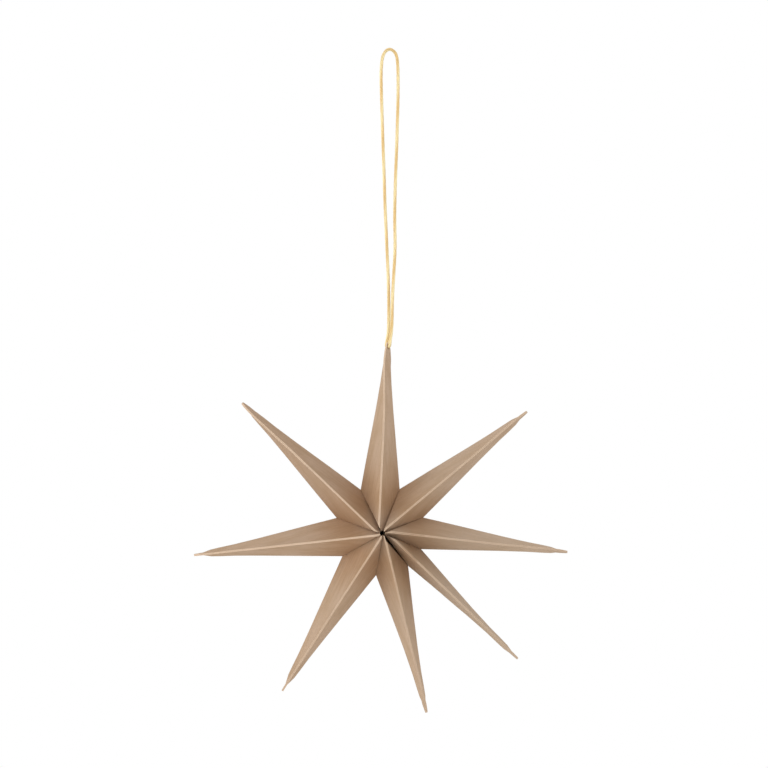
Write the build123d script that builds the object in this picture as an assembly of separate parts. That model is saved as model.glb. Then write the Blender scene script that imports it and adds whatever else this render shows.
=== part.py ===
from build123d import *

import cmath
import os
from math import asin, cos, degrees, pi, radians, sin, sqrt, tan

# A folded paper star that hangs on a gold cord. It has eight hollow prongs, each a pouch of
# two creased card leaves glued together along their front and back edges. Neighbouring pouches
# are glued face to face on flat lands round the hub, and the fan of prongs is opened in a full
# circle, so that its first and last land meet at a seam that two small magnets keep closed.
#
# All sizes are in millimetres and all angles in degrees. +Z is up and the front faces -Y. The
# origin is where the star hangs: under the top of the cord's loop.
# Seen from the front, angles run counter-clockwise from +X.

# The star
TIP_RADIUS = 75.0
NOTCH_RADIUS = 18.7
STAR_DEPTH = 42.0
CARD = 0.4
GLUE_STRIP = 1.0
TIP_ROUND = 0.4

# The prongs, clockwise from the top: the angle that each points at, how far its pouch leans
# about its own length at the hub, and how far its glued tip is twisted. A lean or twist is
# positive where the front ridge moves counter-clockwise.
PRONG_ANGLES = {
    "top": (87.9, 4.2, 50.0),
    "upper_right": (39.0, 1.8, 18.0),
    "right": (-6.8, 2.6, 21.0),
    "lower_right": (-43.3, 4.2, 10.0),
    "bottom": (-76.0, 1.5, 20.0),
    "lower_left": (-121.6, 1.1, -4.0),
    "left": (-172.5, 1.2, 4.0),
    "upper_left": (-222.5, 3.4, 28.0),
}

# The notch that follows each prong, clockwise, and how far it lies inside the notch radius.
# The spacing is uneven, as it is on a star that is opened by hand, and tightest beside the
# seam.
NOTCH_ANGLES = (65.6, 16.5, -25.5, -52.9, -96.3, -146.1, -195.5, -243.3)
NOTCH_DROPS = (0.7, 1.1, 1.0, 0.8, 0.6, 0.1, 0.3, 0.6)
SEAM_INDEX = 3

# The seam's two lands touch along their back edges and gape at the front: this is how much
# further from the axis the end leaves start there
SEAM_GAPE = 1.9

# The twist grows with this power of the distance from the notch to the tip
TWIST_POWER = 6
TWIST_STATIONS = (0.3, 0.55, 0.75, 0.86, 0.93)

# Close to its tip the pouch stays open, so its flanks swell before they close
TIP_SWELL = 0.5
SWELL_POWER = 8

# The end pouches and the top one are drawn in a little between the notches and the tip
WAISTS = {"top": 0.1, "lower_right": 0.32, "bottom": 0.32}

# The two discs that hold the seam closed, inside the end leaves
MAGNET_DIAMETER = 5.0
MAGNET_THICKNESS = 1.0
MAGNET_FROM_NOTCH = 6.0

# The hanging cord, and the hole pierced for it through the top prong's glued tip
CORD_DIAMETER = 1.2
HOLE_CLEARANCE = 0.1
HOLE_FROM_TIP = 2.0
HOLE_BEND = 1.05
CORD_FOOT = (-0.725, 0.0, -117.95)

# The cord's route: out of the hole to the right, up the right strand, over the top of the loop,
# down the left strand and back into the hole from the left
CORD_ROUTE = (
    (-0.695, -0.04, -117.95),
    (0.015, -0.88, -117.98),
    (0.17, -0.93, -115.65),
    (0.66, -0.76, -112.70),
    (1.00, -0.52, -108.00),
    (1.05, -0.30, -100.00),
    (1.68, -0.15, -89.00),
    (2.32, -0.05, -77.50),
    (1.95, 0.00, -65.00),
    (2.50, 0.03, -47.00),
    (3.10, 0.00, -31.00),
    (3.40, -0.03, -17.00),
    (3.43, 0.00, -8.50),
    (3.15, 0.03, -3.40),
    (2.45, 0.00, -0.90),
    (0.82, -0.03, 0.60),
    (-0.78, 0.03, 0.60),
    (-2.25, 0.00, -0.90),
    (-3.05, -0.03, -3.50),
    (-3.45, 0.00, -8.80),
    (-3.22, 0.03, -17.50),
    (-2.85, 0.00, -31.00),
    (-2.28, -0.03, -46.00),
    (-1.85, 0.03, -61.00),
    (-1.12, 0.10, -77.00),
    (-0.50, 0.20, -90.00),
    (-0.27, 0.38, -101.00),
    (-0.30, 0.66, -108.50),
    (-0.50, 0.90, -112.80),
    (-1.05, 1.04, -115.60),
    (-1.45, 0.88, -117.92),
    (-0.755, 0.04, -117.95),
)

# The card leaves are stacked round the hub, so their thickness sets the hole down the axis
LEAVES = 2 * len(PRONG_ANGLES)
HUB_RADIUS = LEAVES * CARD / (2 * pi)

# The ridges run straight from the hub to the tips. Their slope is per millimetre of prong
SLOPE = (STAR_DEPTH / 2 - TIP_ROUND) / TIP_RADIUS
STRIP_HEIGHT = GLUE_STRIP * sqrt(1 + SLOPE**2)

# Where the front and back glue strips meet, the pouch ends in a flat blade
LEAST_FOLD = 0.2
BLADE_ROOT = TIP_RADIUS - (STRIP_HEIGHT + LEAST_FOLD - TIP_ROUND) / SLOPE
ROUNDING_TURNS = (0.0, 35.0, 65.0)

# Bigger than the whole star, for the blocks that trim the leaves
REACH = 4 * TIP_RADIUS

names = list(PRONG_ANGLES)
top_angle = radians(PRONG_ANGLES["top"][0])
hole_direction = Vector(cos(top_angle), 0, sin(top_angle))
star_centre = Vector(*CORD_FOOT) - hole_direction * (TIP_RADIUS - HOLE_FROM_TIP)


# Each prong is modelled in its own frame: z runs out along it from the star's axis, x points at
# its counter-clockwise neighbour and y at the front. A section across it is a list of complex
# numbers, x + 1j * y.
def prong_plane(angle):
    along = Vector(cos(radians(angle)), 0, sin(radians(angle)))
    sideways = Vector(-sin(radians(angle)), 0, cos(radians(angle)))
    return Plane(origin=star_centre, x_dir=sideways, z_dir=along)


def turned(value, angle):
    """A point of a section, turned so that what is in front moves counter-clockwise."""
    return value * cmath.rect(1, -radians(angle))


def cross(a, b):
    return (a.conjugate() * b).imag


def crossing(a, along_a, b, along_b):
    """Where the line through a meets the line through b."""
    return a + along_a * cross(b - a, along_b) / cross(along_a, along_b)


def at(value, station):
    return Vector(value.real, value.imag, station)


def half_depth(station):
    """From the prong's middle to its raw front or back edge."""
    return TIP_ROUND + (TIP_RADIUS - station) * SLOPE


def outer_share(station):
    """How far a station is from the notches to the blade, from 0 to 1."""
    share = (station - NOTCH_RADIUS) / (BLADE_ROOT - NOTCH_RADIUS)
    return min(max(share, 0), 1)


def twist(station, lean, tip_twist):
    return lean + (tip_twist - lean) * outer_share(station) ** TWIST_POWER


def beyond(point, normal):
    """A block that fills the side of a plane that its normal points to."""
    return Plane(origin=point, z_dir=normal) * Box(
        REACH, REACH, REACH, align=(Align.CENTER, Align.CENTER, Align.MIN)
    )


def slab(low, high):
    """All that lies between two stations of a prong."""
    block = Box(REACH, REACH, high - low, align=(Align.CENTER, Align.CENTER, Align.MIN))
    return Pos(0, 0, low) * block


def fold_directions(fold, crease, side):
    """How the front and back facets run from the crease, a card's thickness outside the folds."""
    found = []
    for end in (1, -1):
        towards = end * fold - crease
        swing = degrees(asin(CARD / abs(towards)))
        found.append(turned(towards, side * end * swing))
    return found


def pouch_ring(station, crease_width, lean, turn, side):
    """A leaf's section where the pouch is hollow: the outside, then the inside."""
    up = turned(1j, turn)
    edge = up * half_depth(station)
    fold = up * (half_depth(station) - STRIP_HEIGHT)
    across = turned(side * CARD, turn)
    crease = turned(side * crease_width, turn - lean)
    front, back = fold_directions(fold, crease, side)
    outer_front = crossing(crease, front, fold + across, up)
    outer_back = crossing(crease, back, across - fold, up)
    inner_crease = crossing(fold, front, -fold, back)
    outside = [edge + across, outer_front, crease, outer_back, across - edge]
    return outside + [-edge, -fold, inner_crease, fold, edge]


def blade_ring(edge_height, turn, side):
    """A leaf's section where it is glued flat, with as many corners as the pouch's."""
    up = turned(1j, turn)
    across = turned(side * CARD, turn)
    edge = up * edge_height
    fold = edge * LEAST_FOLD / (LEAST_FOLD + STRIP_HEIGHT)
    outside = [edge + across, fold + across, across, across - fold, across - edge]
    return outside + [-edge, -fold, 0j, fold, edge]


def ring_face(ring, station):
    return Face(Wire.make_polygon([at(point, station) for point in ring], close=True))


def outer_length(notch_station, notch_width, waist, lean, tip_twist, side):
    """The leaf from its notch to its tip, which twists as it narrows."""
    span = BLADE_ROOT - NOTCH_RADIUS
    stations = [notch_station, NOTCH_RADIUS]
    stations += [NOTCH_RADIUS + share * span for share in TWIST_STATIONS]
    sections = []
    for station in stations:
        narrowing = (BLADE_ROOT - station) / (BLADE_ROOT - notch_station)
        share = outer_share(station)
        swell = TIP_SWELL * sin(pi * share**SWELL_POWER) - waist * sin(pi * share)
        crease_width = CARD + (notch_width - CARD) * narrowing + swell
        turn = twist(station, lean, tip_twist)
        ring = pouch_ring(station, crease_width, lean, turn, side)
        sections.append(ring_face(ring, station))
    root_ring = blade_ring(half_depth(BLADE_ROOT), tip_twist, side)
    sections.append(ring_face(root_ring, BLADE_ROOT))
    for rounding in ROUNDING_TURNS:
        station = TIP_RADIUS - TIP_ROUND * (1 - sin(radians(rounding)))
        edge_height = TIP_ROUND * cos(radians(rounding))
        if rounding == 0:
            edge_height = half_depth(station)
        sections.append(ring_face(blade_ring(edge_height, tip_twist, side), station))
    return loft(sections, ruled=True)


def land_normal(notch_station, notch_width, side, gape):
    """Square to the land that a leaf turns to its neighbour. It gapes only at the front."""
    crease = at(complex(side * notch_width), notch_station)
    front = Vector(0, half_depth(0), gape)
    back = Vector(0, -half_depth(0), 0)
    normal = (front - crease).cross(back - crease).normalized()
    if normal.X * side < 0:
        normal = -normal
    return normal


def hub_length(notch_station, notch_width, far_land, lean, side, gape):
    """The leaf from the hub to its notch: two facets, the land between them and two strips."""
    up = turned(1j, lean)
    across = turned(side, lean)
    sideways = at(across, 0)
    crease = at(complex(side * notch_width), notch_station)
    fold = up * (half_depth(notch_station) - STRIP_HEIGHT)
    edge = up * half_depth(notch_station)
    land = land_normal(notch_station, notch_width, side, gape)

    trims = [beyond(Vector(0, 0, 0), -sideways), beyond(crease, land)]
    trims.append(beyond(Vector(0, 0, 0), far_land))
    hollow_trims = [trims[0], beyond(crease - land * CARD, land)]
    strips = []
    directions = fold_directions(fold, complex(side * notch_width), side)
    for end, direction in zip((1, -1), directions):
        ridge = Vector(end * up.real * SLOPE, end * up.imag * SLOPE, -1)
        facet = at(direction, 0).cross(ridge).normalized()
        if facet.X * side < 0:
            facet = -facet
        trims.append(beyond(crease, facet))
        hollow_trims.append(beyond(at(end * fold, notch_station), facet))
        outwards = Vector(end * up.real, end * up.imag, SLOPE).normalized()
        strip = slab(0, notch_station)
        strip -= beyond(at(across * CARD, 0), sideways)
        strip -= beyond(at(end * edge, notch_station), outwards)
        strip -= beyond(at(end * fold, notch_station), -outwards)
        strips.append(strip)

    pouch = slab(0, notch_station)
    for trim in trims:
        pouch -= trim
    hollow = slab(-CARD, notch_station + CARD)
    for trim in hollow_trims:
        hollow -= trim
    card = pouch - hollow
    for strip in strips:
        for trim in trims[:3]:
            strip -= trim
        card += strip
    return card


def leaf(half_angle, drop, other_half_angle, waist, lean, tip_twist, side, gape):
    """One creased leaf: side is 1 on the prong's counter-clockwise flank, or -1."""
    notch_station = (NOTCH_RADIUS - drop) * cos(radians(half_angle))
    notch_width = (NOTCH_RADIUS - drop) * sin(radians(half_angle))
    other = radians(other_half_angle)
    far_land = Vector(-side * cos(other), 0, -sin(other))
    card = hub_length(notch_station, notch_width, far_land, lean, side, gape)
    card += outer_length(notch_station, notch_width, waist, lean, tip_twist, side)
    hub_hole = Rot(90, 0, 0) * Cylinder(HUB_RADIUS, REACH)
    return card - hub_hole


def cord_hole(turn):
    """The hole pierced square through the top prong's flat tip."""
    normal = at(turned(1 + 0j, turn), 0)
    place = Vector(0, 0, TIP_RADIUS - HOLE_FROM_TIP)
    radius = (CORD_DIAMETER + HOLE_CLEARANCE) / 2
    return Plane(origin=place, z_dir=normal) * Cylinder(radius, 10 * CARD)


def magnet(half_angle, drop, side):
    """A disc that lies on the inner face of a seam land, near the notch."""
    notch_station = (NOTCH_RADIUS - drop) * cos(radians(half_angle))
    notch_width = (NOTCH_RADIUS - drop) * sin(radians(half_angle))
    notch = Vector(side * notch_width, 0, notch_station)
    inwards = (Vector(0, 0, SEAM_GAPE / 2) - notch).normalized()
    normal = land_normal(notch_station, notch_width, side, SEAM_GAPE)
    place = notch + inwards * MAGNET_FROM_NOTCH - normal * (CARD + MAGNET_THICKNESS / 2)
    disc = Cylinder(MAGNET_DIAMETER / 2, MAGNET_THICKNESS)
    return Plane(origin=place, z_dir=normal) * disc


def cord():
    """Straight runs joined by arcs, each as large as its two runs allow."""
    points = [Vector(*point) for point in CORD_ROUTE]
    radii = []
    for before, corner, after in zip(points, points[1:], points[2:]):
        turn = (corner - before).get_angle(after - corner)
        shorter = min((corner - before).length, (after - corner).length)
        radii.append(0.45 * shorter / tan(radians(turn) / 2))
    radii[0] = HOLE_BEND
    radii[-1] = HOLE_BEND
    path = FilletPolyline(*points, radius=radii)
    section = Plane(origin=path @ 0, z_dir=path % 0) * Circle(CORD_DIAMETER / 2)
    tube = sweep(section, path=path)
    expected = path.length * pi * CORD_DIAMETER**2 / 4
    print("cord length", round(path.length, 1), "volume share", round(tube.volume / expected, 4))
    return tube


def save(node, shape):
    shape.label = node
    export_step(shape, f"parts/{node}.step")
    print(node, "volume", round(shape.volume, 1))


def angle_to_notch(angle, notch_index):
    """From a prong's middle to a notch beside it."""
    return abs((NOTCH_ANGLES[notch_index] - angle + 180) % 360 - 180)


os.makedirs("parts", exist_ok=True)
for index, name in enumerate(names):
    angle, lean, tip_twist = PRONG_ANGLES[name]
    before = (index - 1) % len(names)
    for flank, side, notch, other in (("left", 1, before, index), ("right", -1, index, before)):
        opening = angle_to_notch(angle, notch)
        drop = NOTCH_DROPS[notch]
        gape = SEAM_GAPE if notch == SEAM_INDEX else 0
        far_opening = angle_to_notch(angle, other)
        waist = WAISTS.get(name, 0)
        card = leaf(opening, drop, far_opening, waist, lean, tip_twist, side, gape)
        if name == "top":
            card -= cord_hole(tip_twist)
        save(f"{name}_prong_{flank}_leaf", prong_plane(angle) * card)
        if notch == SEAM_INDEX:
            disc = magnet(opening, drop, side)
            save(f"{name}_seam_magnet", prong_plane(angle) * disc)

save("hanging_cord", cord())
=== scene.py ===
# %% [markdown]
# # A folded paper star on a gold cord
# The star has eight hollow prongs of thin kraft card. Each prong is a pouch of two creased
# leaves that are glued along their raw front and back edges, so a pale double edge runs down
# the middle of every prong. It hangs from a loop of gold yarn. The CAD frame already has the
# right sizes and twists, so this lesson dresses it: it softens the creases, bows the card,
# draws its fibres and winds the yarn.

# %% Load the frame
from math import atan2, cos, hypot, pi, radians, sin

import bpy
from mathutils import Matrix, Vector


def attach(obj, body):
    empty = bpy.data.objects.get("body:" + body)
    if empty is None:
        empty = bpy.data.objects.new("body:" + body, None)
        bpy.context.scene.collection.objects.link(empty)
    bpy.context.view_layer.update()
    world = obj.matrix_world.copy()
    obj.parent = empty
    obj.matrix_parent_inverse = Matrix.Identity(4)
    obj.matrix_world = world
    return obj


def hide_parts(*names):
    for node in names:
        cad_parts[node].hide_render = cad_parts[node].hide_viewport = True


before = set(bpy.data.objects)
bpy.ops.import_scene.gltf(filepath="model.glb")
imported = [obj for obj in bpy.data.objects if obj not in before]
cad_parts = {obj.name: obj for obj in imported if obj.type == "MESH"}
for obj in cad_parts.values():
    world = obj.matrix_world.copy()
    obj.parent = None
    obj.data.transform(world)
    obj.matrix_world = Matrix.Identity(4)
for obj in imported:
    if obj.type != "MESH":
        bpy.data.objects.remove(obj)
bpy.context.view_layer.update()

print("nodes in the frame:", len(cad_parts))

# %% [markdown]
# ## The camera
# The photograph looks at the star from a little above its middle and a little to its left,
# with upright lines kept upright. A level camera at the height of the picture's middle does
# both, and a lens of about 105 mm keeps the prongs from looking stretched.

# %% Place the camera
# Lengths are in metres, so sizes in millimetres are written with this.
MM = 0.001
PICTURE_WIDTH = 305.9 * MM
CAMERA_AWAY = 900 * MM
CAMERA_ASIDE = 26 * MM
PICTURE_MIDDLE = Vector((-2.22, 0, -132.7)) * MM

camera_data = bpy.data.cameras.new("camera")
camera_data.sensor_width = 36
camera_data.clip_end = 50
camera = bpy.data.objects.new("camera", camera_data)
bpy.context.scene.collection.objects.link(camera)
camera.location = PICTURE_MIDDLE + Vector((-CAMERA_ASIDE, -CAMERA_AWAY, 0))
sight = PICTURE_MIDDLE - camera.location
camera_data.lens = camera_data.sensor_width * sight.length / PICTURE_WIDTH
camera.rotation_euler = sight.to_track_quat("-Z", "Y").to_euler()
bpy.context.scene.camera = camera
print("lens", round(camera_data.lens, 1), "mm")

# %% [markdown]
# ## Small helpers
# Colours are picked as sRGB hex values, but shaders work in linear light, so one function
# turns them over. Another adds a shader node, sets it up and wires its inputs in one call.


# %% Define the helpers
def linear(hex_colour):
    """The linear colour of an sRGB hex value."""
    parts = [int(hex_colour[i : i + 2], 16) / 255 for i in (1, 3, 5)]
    bent = [c / 12.92 if c <= 0.04045 else ((c + 0.055) / 1.055) ** 2.4 for c in parts]
    return (*bent, 1)


def add_node(tree, kind, settings=(), **inputs):
    """Adds a node. An input is a value or another node's output socket."""
    made = tree.nodes.new(kind)
    for name, value in dict(settings).items():
        setattr(made, name, value)
    for name, value in inputs.items():
        key = int(name[1:]) if name[1:].isdigit() else name.replace("_", " ")
        socket = made.inputs[key]
        if isinstance(value, bpy.types.NodeSocket):
            tree.links.new(value, socket)
        else:
            socket.default_value = value
    return made


def new_material(name):
    """An empty material with its output node."""
    material = bpy.data.materials.new(name)
    material.use_nodes = True
    material.node_tree.nodes.clear()
    return material, material.node_tree


def finish_material(tree, shader):
    add_node(tree, "ShaderNodeOutputMaterial", Surface=shader)


def edit(piece):
    """Selects one piece alone and opens it for editing, with all of it selected."""
    bpy.ops.object.select_all(action="DESELECT")
    piece.select_set(True)
    bpy.context.view_layer.objects.active = piece
    bpy.ops.object.mode_set(mode="EDIT")
    bpy.ops.mesh.select_all(action="SELECT")


def close_edit():
    bpy.ops.object.mode_set(mode="OBJECT")


def add_object(name, data):
    made = bpy.data.objects.new(name, data)
    bpy.context.scene.collection.objects.link(made)
    return made


print("helpers ready")

# %% [markdown]
# ## The hanging cord
# The cord looks like a thin yarn of metallised film, about 1.2 mm thick. The photograph is too
# small to show how it is laid, so it is wound here from six fine strands with a slow twist,
# which gives it an even outline. Its two ends meet in a hole near the top prong's tip. The
# route is one smooth spline over the same points as the solid tube's.

# %% Lay the cord's route
CORD_ROUTE = (
    (-0.695, -0.04, -117.95),
    (0.015, -0.88, -117.98),
    (0.17, -0.93, -115.65),
    (0.66, -0.76, -112.70),
    (1.00, -0.52, -108.00),
    (1.05, -0.30, -100.00),
    (1.68, -0.15, -89.00),
    (2.32, -0.05, -77.50),
    (1.95, 0.00, -65.00),
    (2.50, 0.03, -47.00),
    (3.10, 0.00, -31.00),
    (3.40, -0.03, -17.00),
    (3.43, 0.00, -8.50),
    (3.15, 0.03, -3.40),
    (2.45, 0.00, -0.90),
    (0.82, -0.03, 0.60),
    (-0.78, 0.03, 0.60),
    (-2.25, 0.00, -0.90),
    (-3.05, -0.03, -3.50),
    (-3.45, 0.00, -8.80),
    (-3.22, 0.03, -17.50),
    (-2.85, 0.00, -31.00),
    (-2.28, -0.03, -46.00),
    (-1.85, 0.03, -61.00),
    (-1.12, 0.10, -77.00),
    (-0.50, 0.20, -90.00),
    (-0.27, 0.38, -101.00),
    (-0.30, 0.66, -108.50),
    (-0.50, 0.90, -112.80),
    (-1.05, 1.04, -115.60),
    (-1.45, 0.88, -117.92),
    (-0.755, 0.04, -117.95),
)

route_curve = bpy.data.curves.new("cord_route", "CURVE")
route_curve.dimensions = "3D"
spline = route_curve.splines.new("NURBS")
spline.points.add(len(CORD_ROUTE) - 1)
for point, place in zip(spline.points, CORD_ROUTE):
    point.co = (*(Vector(place) * MM), 1)
spline.order_u = 3
spline.use_endpoint_u = True
spline.resolution_u = 24
route = add_object("cord_route", route_curve)
bpy.context.view_layer.update()
route_mesh = bpy.data.meshes.new_from_object(route)
centreline = [vertex.co.copy() for vertex in route_mesh.vertices]
bpy.data.objects.remove(route)
cord_run = sum((b - a).length for a, b in zip(centreline, centreline[1:]))
print("cord line", len(centreline), "points,", round(cord_run * 1000, 1), "mm")

# %% [markdown]
# Each strand is a helix wound round that line. The line is first walked in even steps, with a
# frame that turns as little as it can, so that the twist stays even round the tight bends.

# %% Wind the six strands
PLIES = 6
PLY_RADIUS = 0.24 * MM
PLY_OFFSET = 0.41 * MM
TWIST_PITCH = 21 * MM
STEP = 0.5 * MM


def even_steps(points, step):
    """The same line, walked in even steps."""
    walked = [points[0]]
    left = step
    for start, end in zip(points, points[1:]):
        span = (end - start).length
        gone = 0
        while span - gone >= left:
            gone += left
            walked.append(start.lerp(end, gone / span))
            left = step
        left -= span - gone
    walked.append(points[-1])
    return walked


def wind(points, offset, pitch, start_angle):
    """A helix round the line."""
    wound = []
    normal = None
    run = 0
    for index, place in enumerate(points):
        before = points[max(index - 1, 0)]
        after = points[min(index + 1, len(points) - 1)]
        ahead = (after - before).normalized()
        if normal is None:
            normal = ahead.orthogonal()
        normal = (normal - ahead * normal.dot(ahead)).normalized()
        run += (place - before).length
        angle = start_angle + 2 * pi * run / pitch
        wound.append(place + (normal * cos(angle) + ahead.cross(normal) * sin(angle)) * offset)
    return wound


cord_line = even_steps(centreline, STEP)
ply_curve = bpy.data.curves.new("hanging_yarn", "CURVE")
ply_curve.dimensions = "3D"
ply_curve.bevel_depth = PLY_RADIUS
ply_curve.bevel_resolution = 2
ply_curve.use_fill_caps = True
for ply in range(PLIES):
    turns = wind(cord_line, PLY_OFFSET, TWIST_PITCH, 2 * pi * ply / PLIES)
    strand = ply_curve.splines.new("POLY")
    strand.points.add(len(turns) - 1)
    for point, place in zip(strand.points, turns):
        point.co = (*place, 1)
ply_object = add_object("ply_object", ply_curve)
bpy.context.view_layer.update()
yarn_mesh = bpy.data.meshes.new_from_object(ply_object)
bpy.data.objects.remove(ply_object)
ply_mark = yarn_mesh.attributes.new("ply", "FLOAT", "POINT")
ply_vertices = len(yarn_mesh.vertices) // PLIES
for index, mark in enumerate(ply_mark.data):
    mark.value = (1 - cos(2 * pi * (index // ply_vertices) / PLIES)) / 2
yarn = add_object("hanging_yarn", yarn_mesh)
edit(yarn)
bpy.ops.mesh.normals_make_consistent(inside=False)
bpy.ops.mesh.faces_shade_smooth()
close_edit()
print("yarn faces", len(yarn.data.polygons))

# %% [markdown]
# The yarn is gold-coloured metallised polyester film. It is a metal to the light: its colour
# tints every reflection. Thousands of film edges scatter the gloss, so it is fairly rough,
# and the fine slanting filaments show as a bump that is drawn coarser than real.

# %% Make the gold yarn's material
yarn_gold, tree = new_material("Gold metallised film yarn")
place = add_node(tree, "ShaderNodeTexCoord")
scaled = add_node(
    tree, "ShaderNodeMapping", Vector=place.outputs["Object"], Scale=(9000, 9000, 2600)
)
filaments = add_node(
    tree, "ShaderNodeTexNoise", Vector=scaled.outputs[0], Scale=1, Detail=3, Roughness=0.6
)
ply_number = add_node(tree, "ShaderNodeAttribute", {"attribute_name": "ply"})
ply_tones = add_node(tree, "ShaderNodeValToRGB", Fac=ply_number.outputs["Fac"])
ply_tones.color_ramp.elements[0].color = linear("#F2E6BC")
ply_tones.color_ramp.elements[1].color = linear("#E4C893")
middle = ply_tones.color_ramp.elements.new(0.5)
middle.color = linear("#EBD5A4")
gold_tones = add_node(
    tree,
    "ShaderNodeMix",
    {"data_type": "RGBA", "blend_type": "MULTIPLY"},
    Factor=filaments.outputs["Fac"],
    A=ply_tones.outputs["Color"],
    B=linear("#F5ECD9"),
)
gold_bump = add_node(
    tree, "ShaderNodeBump", Height=filaments.outputs["Fac"], Strength=0.35, Distance=0.05 * MM
)
gold = add_node(
    tree,
    "ShaderNodeBsdfPrincipled",
    Base_Color=gold_tones.outputs[2],
    Metallic=0.85,
    Roughness=0.36,
    Normal=gold_bump.outputs["Normal"],
)
finish_material(tree, gold.outputs["BSDF"])
yarn.data.materials.append(yarn_gold)

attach(yarn, "root")
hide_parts("hanging_cord")
print("gold yarn ready")

# %% [markdown]
# ## The card leaves
# A leaf is a die-cut sheet of 0.4 mm kraft card with one crease down its middle. The solids
# have knife-sharp creases and dead-flat walls, and real card has neither: it bows a little
# between crease and glued edge, and the crease is a small round. So each leaf is copied, cut
# into a grid, bowed, and its edges are bevelled.

# %% Describe the prongs
TIP_RADIUS = 75 * MM
HALF_DEPTH = 21 * MM
TIP_ROUND = 0.4 * MM
HOLE_FROM_TIP = 2 * MM
CORD_FOOT = Vector((-0.725, 0, -117.95)) * MM
SLOPE = (HALF_DEPTH - TIP_ROUND) / TIP_RADIUS

# the prong's angle, the lean of its ridges, and the notch angles on its two flanks
PRONGS = {
    "top": (87.9, 4.2, 116.7, 65.6),
    "upper_right": (39.0, 1.8, 65.6, 16.5),
    "right": (-6.8, 2.6, 16.5, -25.5),
    "lower_right": (-43.3, 4.2, -25.5, -52.9),
    "bottom": (-76.0, 1.5, -52.9, -96.3),
    "lower_left": (-121.6, 1.1, -96.3, -146.1),
    "left": (-172.5, 1.2, -146.1, -195.5),
    "upper_left": (-222.5, 3.4, -195.5, -243.3),
}
top_angle = radians(PRONGS["top"][0])
top_outward = Vector((cos(top_angle), 0, sin(top_angle)))
STAR_CENTRE = CORD_FOOT - top_outward * (TIP_RADIUS - HOLE_FROM_TIP)


def prong_frame(angle):
    """Turns points of a prong's own frame (sideways, front, outward) into the star's."""
    outward = Vector((cos(radians(angle)), 0, sin(radians(angle))))
    sideways = Vector((-outward.z, 0, outward.x))
    front = Vector((0, -1, 0))
    turn = Matrix((sideways, front, outward)).transposed()
    return Matrix.Translation(STAR_CENTRE) @ turn.to_4x4()


def half_depth(along):
    return TIP_ROUND + (TIP_RADIUS - along) * SLOPE


print("star centre", [round(c * 1000, 2) for c in STAR_CENTRE])

# %% [markdown]
# The bow is greatest halfway between the crease and the glued edge, dies out at both, at the
# flat land that is glued to the next prong, and towards the tip. The walls move out along the
# line from the prong's own middle, the inside as much as the outside, so the card keeps its
# thickness.

# %% Bow and soften each leaf
BOW = 0.45 * MM
LAND_FADE = 7 * MM
EDGE_FADE = 2.5 * MM
STRAIGHT_FROM = 0.9 * TIP_RADIUS
TIP_FADE = 0.5 * TIP_RADIUS
AXIS_REACH = 0.2 * MM
CUT_SPACING = 4 * MM
LAST_CUT = 0.85 * TIP_RADIUS
CUT_TILTS = (-60, -35, -12, 12, 35, 60)
CREASE_ANGLE = 40
SMOOTH_ANGLE = 28
RAW_BAND = 0.12 * MM
RAW_FACING = 0.6
CREASE_ROUND = 0.07 * MM
CARD = 0.4 * MM
# the cuts leave some edges shorter than this, which are merged
SHORT_EDGE = 0.02 * MM

# how much greyer each prong's card is and, below zero, how much darker: the darkening is painted
# shade on prongs that the lamps light too brightly; fitted by comparing renders with the
# photograph, which can't tell a card's own tone from the light on it
PRONG_GREYING_AND_SHADE = {
    "upper_right": 0.3,
    "right": 0.6,
    "lower_right": 0.9,
    "bottom": 0.2,
    "lower_left": -0.1,
    "left": -0.3,
    "upper_left": -0.8,
}
# how pale each prong's cut edges are where they aren't the palest: painted shade on the edges
# that tilt away from the light at the upper left, fitted in the same way
SHADED_EDGE_PALENESS = {
    "upper_right": 0.8,
    "right": 0.62,
    "lower_right": 0.5,
    "bottom": 0.6,
    "lower_left": 0.72,
}


def smooth(share):
    share = min(max(share, 0), 1)
    return share * share * (3 - 2 * share)


def bowed(local, lean, half_angle, side):
    """Where a point of a leaf goes when the card bows."""
    turn = radians(lean)
    across = local.x * cos(turn) - local.y * sin(turn)
    up = local.y * cos(turn) + local.x * sin(turn)
    reach = hypot(local.x, local.y)
    if reach < AXIS_REACH:
        return local
    share = atan2(abs(up), max(side * across, 1e-9)) / (pi / 2)
    land = Vector((side * cos(half_angle), 0, -sin(half_angle)))
    from_land = -land.dot(local)
    fade = smooth(from_land / LAND_FADE) * smooth((STRAIGHT_FROM - local.z) / TIP_FADE)
    near_edge = smooth((half_depth(local.z) - reach) / EDGE_FADE)
    out = BOW * sin(pi * share) * fade * near_edge
    return local + Vector((local.x, local.y, 0)) * (out / reach)


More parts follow.
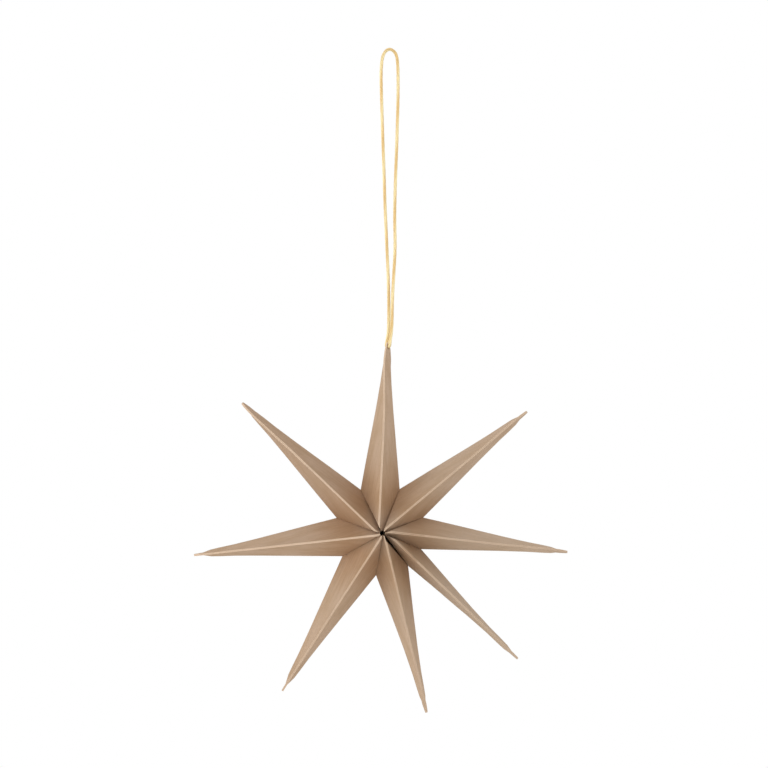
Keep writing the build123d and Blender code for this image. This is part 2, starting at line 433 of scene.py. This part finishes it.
def dress_leaf(name, prong, side, index):
    """A softened copy of one leaf, with a map of the flat sheet that it was cut from."""
    angle, lean, notch_left, notch_right = PRONGS[prong]
    notch = notch_left if side > 0 else notch_right
    half_angle = abs(radians((notch - angle + 180) % 360 - 180))
    place = prong_frame(angle)
    leaf = add_object(name + "_card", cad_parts[name].data.copy())
    leaf.data.materials.clear()
    edit(leaf)
    if leaf.data.has_custom_normals:
        bpy.ops.mesh.customdata_custom_splitnormals_clear()
    bpy.ops.mesh.remove_doubles(threshold=0.001 * MM)
    bpy.ops.mesh.dissolve_limited(angle_limit=radians(0.2))
    outward = place.to_3x3() @ Vector((0, 0, 1))
    cut = CUT_SPACING
    while cut < LAST_CUT:
        bpy.ops.mesh.select_all(action="SELECT")
        bpy.ops.mesh.bisect(plane_co=STAR_CENTRE + outward * cut, plane_no=outward)
        cut += CUT_SPACING
    for tilt in CUT_TILTS:
        around = place.to_3x3() @ Vector((sin(radians(tilt)), -cos(radians(tilt)) * side, 0))
        bpy.ops.mesh.select_all(action="SELECT")
        bpy.ops.mesh.bisect(plane_co=STAR_CENTRE, plane_no=around)
    bpy.ops.mesh.select_all(action="SELECT")
    bpy.ops.mesh.remove_doubles(threshold=SHORT_EDGE)
    close_edit()
    back = place.inverted()
    for vertex in leaf.data.vertices:
        vertex.co = place @ bowed(back @ vertex.co, lean, half_angle, side)
    bpy.context.view_layer.objects.active = leaf
    round_off = leaf.modifiers.new("crease round", "BEVEL")
    round_off.limit_method = "ANGLE"
    round_off.angle_limit = radians(CREASE_ANGLE)
    round_off.width = CREASE_ROUND
    round_off.segments = 2
    # clamped, the shortest edge of a leaf would shrink the rounding along all of its creases
    round_off.use_clamp_overlap = False
    bpy.ops.object.modifier_apply(modifier=round_off.name)
    bpy.ops.object.shade_smooth_by_angle(angle=radians(SMOOTH_ANGLE))
    map_sheet(leaf, back, prong, index)
    return leaf


def hub_shade_share(station):
    """A slightly darker ring round the notches, fitted too: painted shade where the neighbouring
    prongs close round the hub.
    """
    return smooth((station - 3 * MM) / (9 * MM)) * (1 - smooth((station - 12 * MM) / (22 * MM)))


def map_sheet(leaf, back, prong, index):
    """Lays the leaf out flat in a UV map in metres, marks its raw edges with painted shade on
    some prongs' edges, and marks the painted shade round the hub and each prong's greying and
    painted shade.
    """
    mesh = leaf.data
    mesh.uv_layers.new(name="sheet")
    for mark in ("raw_edge", "painted_hub_shade", "greying_and_shade"):
        mesh.attributes.new(mark, "FLOAT", "CORNER")
    sheet = mesh.uv_layers["sheet"]
    raw = mesh.attributes["raw_edge"]
    painted_hub_shade = mesh.attributes["painted_hub_shade"]
    greying_and_shade_marks = mesh.attributes["greying_and_shade"]
    shift = 0.37 * index
    greying_and_shade = PRONG_GREYING_AND_SHADE.get(prong, 0)
    shaded_edge_paleness = SHADED_EDGE_PALENESS.get(prong, 1)
    for face in mesh.polygons:
        centre = back @ face.center
        normal = back.to_3x3() @ face.normal
        reach = hypot(centre.x, centre.y)
        outwards = (normal.x * centre.x + normal.y * centre.y) / max(reach, 1e-9)
        is_raw = reach > half_depth(centre.z) - RAW_BAND and outwards > RAW_FACING
        for loop in face.loop_indices:
            local = back @ mesh.vertices[mesh.loops[loop].vertex_index].co
            across = abs(local.x * normal.y - local.y * normal.x)
            sheet.data[loop].uv = (local.y * 1.05 + shift, local.z + shift)
            # the raw edges of the prongs that tilt away from the upper left are dimmed with
            # painted shade
            raw.data[loop].value = shaded_edge_paleness * (1 - 0.5 * min(across / CARD, 1)) if is_raw else 0
            painted_hub_shade.data[loop].value = hub_shade_share(local.z)
            greying_and_shade_marks.data[loop].value = greying_and_shade


leaves = []
for prong in PRONGS:
    for flank, side in (("left", 1), ("right", -1)):
        name = f"{prong}_prong_{flank}_leaf"
        leaf = dress_leaf(name, prong, side, len(leaves))
        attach(leaf, "root")
        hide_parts(name)
        leaves.append(leaf)
print("dressed", len(leaves), "leaves,", sum(len(leaf.data.polygons) for leaf in leaves), "faces")

# %% [markdown]
# Kraft card is pressed from long wood fibres that mostly lie along the sheet. That gives the
# eye faint streaks down each leaf, about 0.5 mm wide and a centimetre long, over softer
# clouds where the pulp was denser. The surface is uncoated, so it has hardly any gloss. The
# core is unbleached and pale, which is why the cut edges shine out as light lines.

# %% Make the card's material
CARD_IOR = 1.47
card, tree = new_material("Kraft card")
sheet_map = add_node(tree, "ShaderNodeUVMap", {"uv_map": "sheet"})
raw_mark = add_node(tree, "ShaderNodeAttribute", {"attribute_name": "raw_edge"})
hub_shade_mark = add_node(tree, "ShaderNodeAttribute", {"attribute_name": "painted_hub_shade"})
greying_and_shade_mark = add_node(tree, "ShaderNodeAttribute", {"attribute_name": "greying_and_shade"})


def sheet_noise(across_mm, along_mm, detail):
    """Noise with features of this size on the flat sheet."""
    stretched = add_node(
        tree,
        "ShaderNodeMapping",
        Vector=sheet_map.outputs["UV"],
        Scale=(1000 / across_mm, 1000 / along_mm, 1),
    )
    noise = add_node(
        tree,
        "ShaderNodeTexNoise",
        {"noise_dimensions": "2D"},
        Vector=stretched.outputs[0],
        Scale=1,
        Detail=detail,
        Roughness=0.55,
    )
    return noise.outputs["Fac"]


def mix_colour(factor, first, second, blend="MIX", share=1):
    if share != 1:
        scaled = {"operation": "MULTIPLY"}
        factor = add_node(tree, "ShaderNodeMath", scaled, _0=factor, _1=share).outputs[0]
    settings = {"data_type": "RGBA", "blend_type": blend}
    mixed = add_node(tree, "ShaderNodeMix", settings, Factor=factor)
    for socket, value in ((mixed.inputs[6], first), (mixed.inputs[7], second)):
        if isinstance(value, bpy.types.NodeSocket):
            tree.links.new(value, socket)
        else:
            socket.default_value = value
    return mixed.outputs[2]


def ramp(factor, low, high):
    """Spreads a noise's middle out to the whole of 0 to 1."""
    spread = add_node(tree, "ShaderNodeMapRange", Value=factor)
    spread.inputs["From Min"].default_value = low
    spread.inputs["From Max"].default_value = high
    return spread.outputs["Result"]


streaks = ramp(sheet_noise(0.7, 14, 3), 0.3, 0.7)
clouds = ramp(sheet_noise(6, 16, 2), 0.3, 0.7)
flecks = ramp(sheet_noise(0.35, 1.6, 1), 0.66, 0.8)
grain = sheet_noise(0.25, 0.5, 2)
streaked = mix_colour(streaks, linear("#B3987D"), linear("#C6AC93"))
clouded = mix_colour(clouds, linear("#B4987B"), linear("#C3AA94"))
body = mix_colour(0.5, streaked, clouded)
flecked = mix_colour(flecks, body, linear("#AA9077"), share=0.7)
# prongs with a value above zero turn greyer, and those below zero are darkened with painted shade
# where the lamps light them too brightly
greyer = mix_colour(greying_and_shade_mark.outputs["Fac"], flecked, linear("#BBAB98"), share=0.45)
prong_shaded = mix_colour(greying_and_shade_mark.outputs["Fac"], greyer, linear("#EEEAE8"), "MULTIPLY", -1)
# painted shade: the card is darkened in a ring round the hub, where the neighbouring prongs shade
# it
hub_shaded = mix_colour(hub_shade_mark.outputs["Fac"], prong_shaded, linear("#F4E8DA"), "MULTIPLY")
fibre_ends = mix_colour(ramp(grain, 0.3, 0.7), linear("#E4C8AD"), linear("#E9D0B7"))
card_colour = mix_colour(raw_mark.outputs["Fac"], hub_shaded, fibre_ends)
card_bump = add_node(tree, "ShaderNodeBump", Height=grain, Strength=0.15, Distance=0.04 * MM)
card_shader = add_node(
    tree,
    "ShaderNodeBsdfPrincipled",
    Base_Color=card_colour,
    Roughness=0.9,
    IOR=CARD_IOR,
    Specular_IOR_Level=0.2,
    Normal=card_bump.outputs["Normal"],
)
finish_material(tree, card_shader.outputs["BSDF"])
for leaf in leaves:
    leaf.data.materials.append(card)
print("card ready")

# %% [markdown]
# ## The seam's magnets
# Two small discs inside the end pouches hold the ring of prongs closed. They are sintered
# neodymium with a bright nickel plating, and they can't be seen from outside.

# %% Plate the magnets
nickel, tree = new_material("Nickel plating")
place = add_node(tree, "ShaderNodeTexCoord")
wear = add_node(
    tree, "ShaderNodeTexNoise", Vector=place.outputs["Object"], Scale=1800, Detail=3
)
rub = add_node(tree, "ShaderNodeMapRange", Value=wear.outputs["Fac"])
rub.inputs["To Min"].default_value = 0.18
rub.inputs["To Max"].default_value = 0.34
plating = add_node(
    tree,
    "ShaderNodeBsdfPrincipled",
    Base_Color=linear("#C9C6BE"),
    Metallic=1,
    Roughness=rub.outputs["Result"],
)
finish_material(tree, plating.outputs["BSDF"])
for name in ("lower_right_seam_magnet", "bottom_seam_magnet"):
    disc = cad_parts[name]
    for slot in disc.material_slots:
        slot.material = nickel
print("magnets plated")

# %% [markdown]
# ## Light and background
# The light is soft and comes from the left, and the background is pure white. One large lamp
# stands at the left, a smaller one in front and above softens it, and a weak one at the right
# opens the shaded sides. The world is brighter behind the star than on the camera's side, as
# with a white backdrop, which lights the facets that face away. The floor lies well below the
# star and melts into the white of the world.

# %% Light the star
KEY_WATTS = 2.4
FILL_WATTS = 1.5
BOUNCE_WATTS = 0.5
FRONT_LEVEL = 0.64
BACK_LEVEL = 1.2

# each lamp's watts, its size and its place from the star's centre, in metres
LAMPS = {
    "key_lamp": (KEY_WATTS, 0.8, (-1.0, -0.35, 0.05)),
    "fill_lamp": (FILL_WATTS, 0.6, (-0.4, -1.0, 0.55)),
    "bounce_lamp": (BOUNCE_WATTS, 0.8, (1.0, -0.3, 0.0)),
}


def add_lamp(name, watts, size, place):
    lamp = bpy.data.lights.new(name, "AREA")
    lamp.energy = watts
    lamp.size = size
    made = add_object(name, lamp)
    made.location = STAR_CENTRE + Vector(place)
    made.rotation_euler = (-Vector(place)).to_track_quat("-Z", "Y").to_euler()


for lamp_name, (watts, size, place) in LAMPS.items():
    add_lamp(lamp_name, watts, size, place)

world = bpy.data.worlds.new("white room")
bpy.context.scene.world = world
world.use_nodes = True
tree = world.node_tree
tree.nodes.clear()


def seen_directly(tree):
    """1 for rays that show the background itself: from the camera, off gloss or through glass."""
    path = add_node(tree, "ShaderNodeLightPath")
    gloss = add_node(
        tree,
        "ShaderNodeMath",
        {"operation": "MAXIMUM"},
        _0=path.outputs["Is Camera Ray"],
        _1=path.outputs["Is Glossy Ray"],
    )
    both = add_node(
        tree,
        "ShaderNodeMath",
        {"operation": "MAXIMUM"},
        _0=gloss.outputs[0],
        _1=path.outputs["Is Transmission Ray"],
    )
    return both.outputs[0]


looked = add_node(tree, "ShaderNodeTexCoord")
direction = add_node(tree, "ShaderNodeSeparateXYZ", Vector=looked.outputs["Generated"])
level = add_node(tree, "ShaderNodeMapRange", Value=direction.outputs["Y"])
for name, value in (("From Min", -1), ("To Min", FRONT_LEVEL), ("To Max", BACK_LEVEL)):
    level.inputs[name].default_value = value
dim = add_node(
    tree, "ShaderNodeBackground", Color=(1, 1, 1, 1), Strength=level.outputs["Result"]
)
white = add_node(tree, "ShaderNodeBackground", Color=(1, 1, 1, 1), Strength=1)
shown = add_node(
    tree, "ShaderNodeMixShader", _0=seen_directly(tree), _1=dim.outputs[0], _2=white.outputs[0]
)
add_node(tree, "ShaderNodeOutputWorld", Surface=shown.outputs[0])
print("lit")

# %% Lay the floor
FLOOR_LEVEL = -0.62
FLOOR_RADIUS = 12
RIM_WIDTH = 11
SHADOW_REACH = 0.45
WHITE_REACH = 0.95

bpy.ops.object.select_all(action="DESELECT")
bpy.ops.mesh.primitive_circle_add(
    vertices=96, radius=FLOOR_RADIUS, fill_type="NGON", location=(0, 0, FLOOR_LEVEL)
)
floor = bpy.context.object
floor.name = "floor"
edit(floor)
bpy.ops.mesh.inset(thickness=RIM_WIDTH, depth=0)
bpy.ops.mesh.normals_make_consistent(inside=False)
close_edit()
bpy.ops.object.transform_apply(location=True, rotation=True, scale=True)
pale, tree = new_material("Pale matt floor")
place = add_node(tree, "ShaderNodeTexCoord")
flat = add_node(
    tree,
    "ShaderNodeVectorMath",
    {"operation": "MULTIPLY"},
    _0=place.outputs["Object"],
    _1=(1, 1, 0),
)
away = add_node(tree, "ShaderNodeVectorMath", {"operation": "LENGTH"}, _0=flat.outputs[0])
melt = add_node(tree, "ShaderNodeMapRange", Value=away.outputs["Value"])
melt.inputs["From Min"].default_value = SHADOW_REACH
melt.inputs["From Max"].default_value = WHITE_REACH
matt = add_node(tree, "ShaderNodeBsdfDiffuse", Color=linear("#F4F3F1"))
glow = add_node(tree, "ShaderNodeEmission", Color=(1, 1, 1, 1), Strength=1)
both = add_node(
    tree,
    "ShaderNodeMath",
    {"operation": "MULTIPLY"},
    _0=seen_directly(tree),
    _1=melt.outputs["Result"],
)
floor_shader = add_node(
    tree, "ShaderNodeMixShader", _0=both.outputs[0], _1=matt.outputs[0], _2=glow.outputs[0]
)
finish_material(tree, floor_shader.outputs[0])
floor.data.materials.append(pale)

# %% [markdown]
# ## Finish
# The plain Standard view shows each colour about as it was picked.

# %% Finish
bpy.context.scene.view_settings.view_transform = "Standard"
